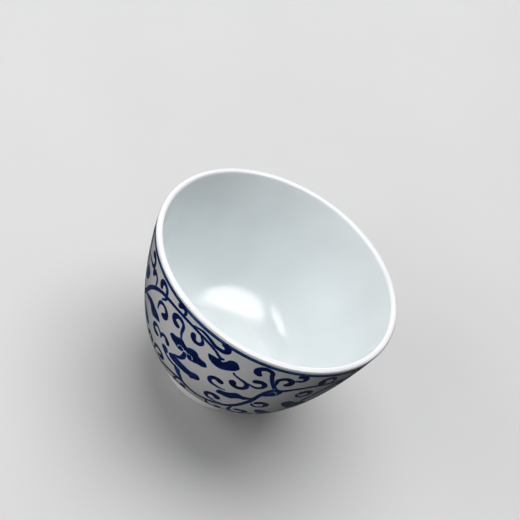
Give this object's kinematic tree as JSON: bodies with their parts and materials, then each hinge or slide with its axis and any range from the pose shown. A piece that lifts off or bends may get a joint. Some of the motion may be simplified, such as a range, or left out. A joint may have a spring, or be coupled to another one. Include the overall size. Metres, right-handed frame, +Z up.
{
  "type": "teacup",
  "caption": "Small handleless porcelain teacup with a rounded bowl, a turned foot ring and a blue painted scroll of fungus heads and curling tendrils.",
  "frame": {"origin": "centre of the foot ring's resting face", "axes": "+Z up along the cup's axis; -Y is the front of the painting; +X to the right seen from the front"},
  "size_m": [0.066, 0.066, 0.0425],
  "materials": {
    "porcelain_paste": "fired white porcelain paste, matt",
    "bare_foot": "bare fired porcelain, fine grain, matt",
    "outer_glaze": "clear gloss glaze over white porcelain",
    "inner_glaze": "clear gloss glaze, faint green-white",
    "lip_glaze": "clear gloss glaze, rounded bead",
    "base_glaze": "clear gloss glaze",
    "ring_blue": "painted cobalt ring under gloss glaze",
    "vine_blue": "painted cobalt line under gloss glaze",
    "curl_blue": "painted cobalt curls under gloss glaze",
    "leaf_blue": "painted cobalt wash under gloss glaze",
    "head_blue": "painted cobalt wash with dark edges under gloss glaze"
  },
  "bodies": {
    "root": {"bowl_body": "porcelain_paste", "foot_ring": "bare_foot", "outer_glaze": "outer_glaze", "inner_glaze": "inner_glaze", "lip_glaze": "lip_glaze", "base_glaze": "base_glaze", "rim_line_upper": "ring_blue", "rim_line_lower": "ring_blue", "foot_line": "ring_blue", "vine_stems": "vine_blue", "tendril_curls": "curl_blue", "leaves": "leaf_blue", "lingzhi_heads": "head_blue"}
  },
  "joints": []
}
